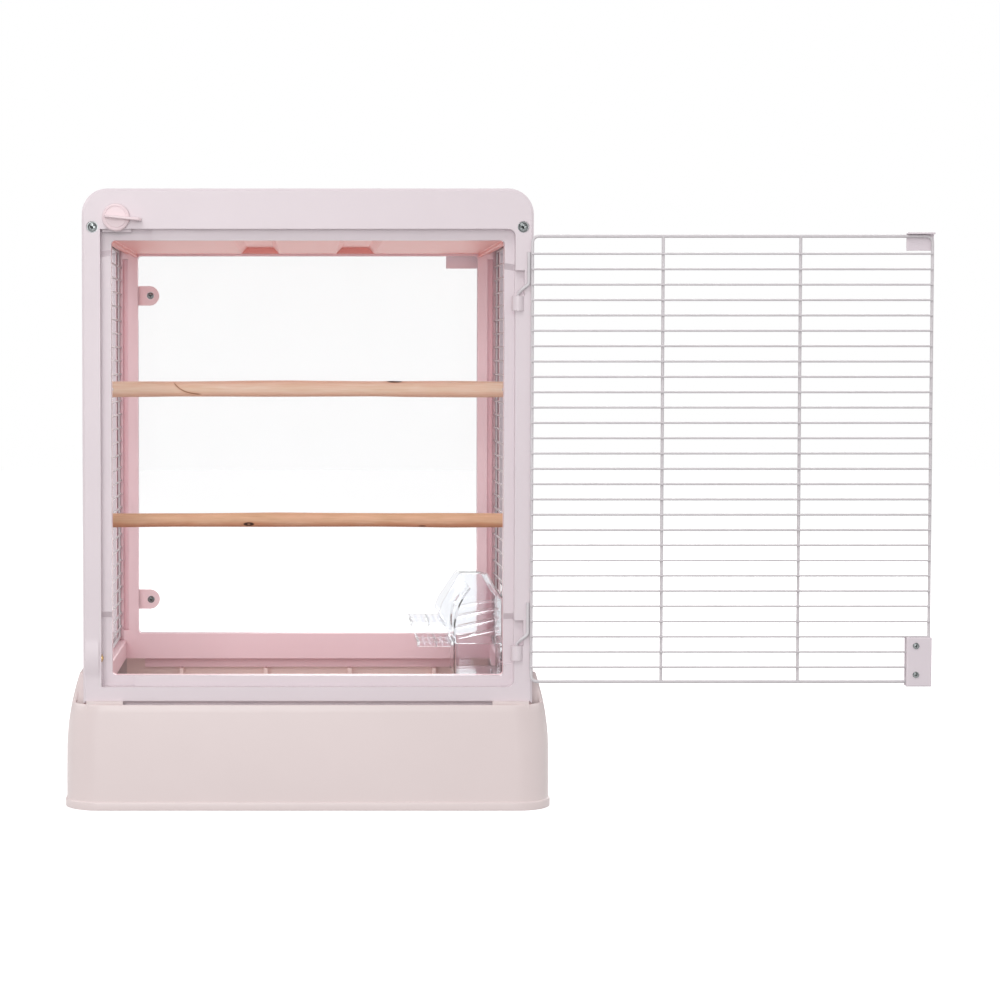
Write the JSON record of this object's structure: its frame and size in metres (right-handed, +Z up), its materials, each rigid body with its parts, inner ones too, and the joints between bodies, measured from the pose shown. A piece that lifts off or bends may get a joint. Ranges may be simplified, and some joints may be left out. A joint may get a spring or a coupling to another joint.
{
  "type": "bird cage",
  "caption": "Bird cage with a deep moulded tub, moulded end frames, wire sides, a hinged wire door, a clear rear door, wooden perches and a clear hooded feeder",
  "frame": {"origin": "centre of the tub's flat underside, on the surface that the cage stands on", "axes": "+X to the right seen from the front door, +Y away from the viewer towards the rear door, +Z up"},
  "size_m": [0.7132, 0.3524, 0.51],
  "materials": {
    "tub_plastic": "glossy moulded polypropylene, pale warm pink",
    "frame_plastic": "satin moulded plastic, pale lilac pink",
    "ceiling_plastic": "satin moulded plastic, pale pink",
    "fitting_plastic": "satin moulded plastic, pale lilac",
    "coated_wire": "white powder coat on steel wire",
    "screw_steel": "plated steel",
    "catch_brass": "turned brass",
    "clear_plastic": "clear polystyrene",
    "perch_wood": "peeled natural hardwood stick with knots"
  },
  "bodies": {
    "tub_body": {"base_tub": "tub_plastic"},
    "grate": {"floor_grate": "coated_wire"},
    "cage_body": {"front_frame": "frame_plastic", "back_frame": "frame_plastic", "roof_cap": "frame_plastic", "ceiling_panel": "ceiling_plastic", "left_sill": "frame_plastic", "right_sill": "frame_plastic", "left_wire_panel": "coated_wire", "right_wire_panel": "coated_wire", "front_frame_screws": "screw_steel", "back_frame_screws": "screw_steel", "front_catch_sleeve": "catch_brass", "back_catch_sleeve": "catch_brass", "upper_perch": "perch_wood", "lower_perch": "perch_wood"},
    "front_door": {"door_wire_grid": "coated_wire", "door_hinge_rod_lower": "coated_wire", "door_hinge_rod_upper": "coated_wire", "door_corner_clip": "fitting_plastic", "door_catch_plate_front": "fitting_plastic", "door_catch_plate_back": "fitting_plastic", "door_plate_screws": "screw_steel"},
    "rear_door": {"rear_clear_panel": "clear_plastic", "rear_hinge_lower": "fitting_plastic", "rear_hinge_upper": "fitting_plastic", "rear_hinge_screws": "screw_steel", "rear_door_clip": "clear_plastic"},
    "front_knob": {"front_lock_knob": "frame_plastic", "front_knob_washer": "screw_steel", "front_knob_screw": "screw_steel"},
    "back_knob": {"back_lock_knob": "frame_plastic", "back_knob_washer": "screw_steel", "back_knob_screw": "screw_steel"},
    "front_ball": {"front_catch_ball": "catch_brass"},
    "back_ball": {"back_catch_ball": "catch_brass"},
    "feeder": {"feeder_cup": "clear_plastic", "feeder_hood": "clear_plastic", "feeder_guard": "clear_plastic", "feeder_step_upper": "clear_plastic", "feeder_step_lower": "clear_plastic", "feeder_hook": "clear_plastic"}
  },
  "joints": [
    {"name": "cage_lift", "type": "slide", "parent": "tub_body", "child": "cage_body", "axis": [0, 0, 1], "range_m": [0, 0.15]},
    {"name": "grate_lift", "type": "slide", "parent": "tub_body", "child": "grate", "axis": [0, 0, 1], "range_m": [0, 0.012]},
    {"name": "front_door_hinge", "type": "hinge", "parent": "cage_body", "child": "front_door", "pos_m": [0.1722, -0.1635, 0.29], "axis": [0, 0, -1], "range_deg": [0, 180]},
    {"name": "rear_door_hinge", "type": "hinge", "parent": "cage_body", "child": "rear_door", "pos_m": [-0.1722, 0.1635, 0.29], "axis": [0, 0, 1], "range_deg": [0, 180]},
    {"name": "front_knob_turn", "type": "hinge", "parent": "cage_body", "child": "front_knob", "pos_m": [-0.1567, -0.165, 0.4863], "axis": [0, 1, 0], "range_deg": [0, 84]},
    {"name": "back_knob_turn", "type": "hinge", "parent": "cage_body", "child": "back_knob", "pos_m": [0.1567, 0.165, 0.4863], "axis": [0, -1, 0], "range_deg": [0, 84]},
    {"name": "front_ball_press", "type": "slide", "parent": "cage_body", "child": "front_ball", "axis": [-1, 0, 0], "range_m": [0, 0.0008], "stiffness_N_per_m": 300},
    {"name": "back_ball_press", "type": "slide", "parent": "cage_body", "child": "back_ball", "axis": [1, 0, 0], "range_m": [0, 0.0008], "stiffness_N_per_m": 300},
    {"name": "feeder_lift", "type": "slide", "parent": "cage_body", "child": "feeder", "axis": [0, 0, 1], "range_m": [0, 0.008]}
  ]
}
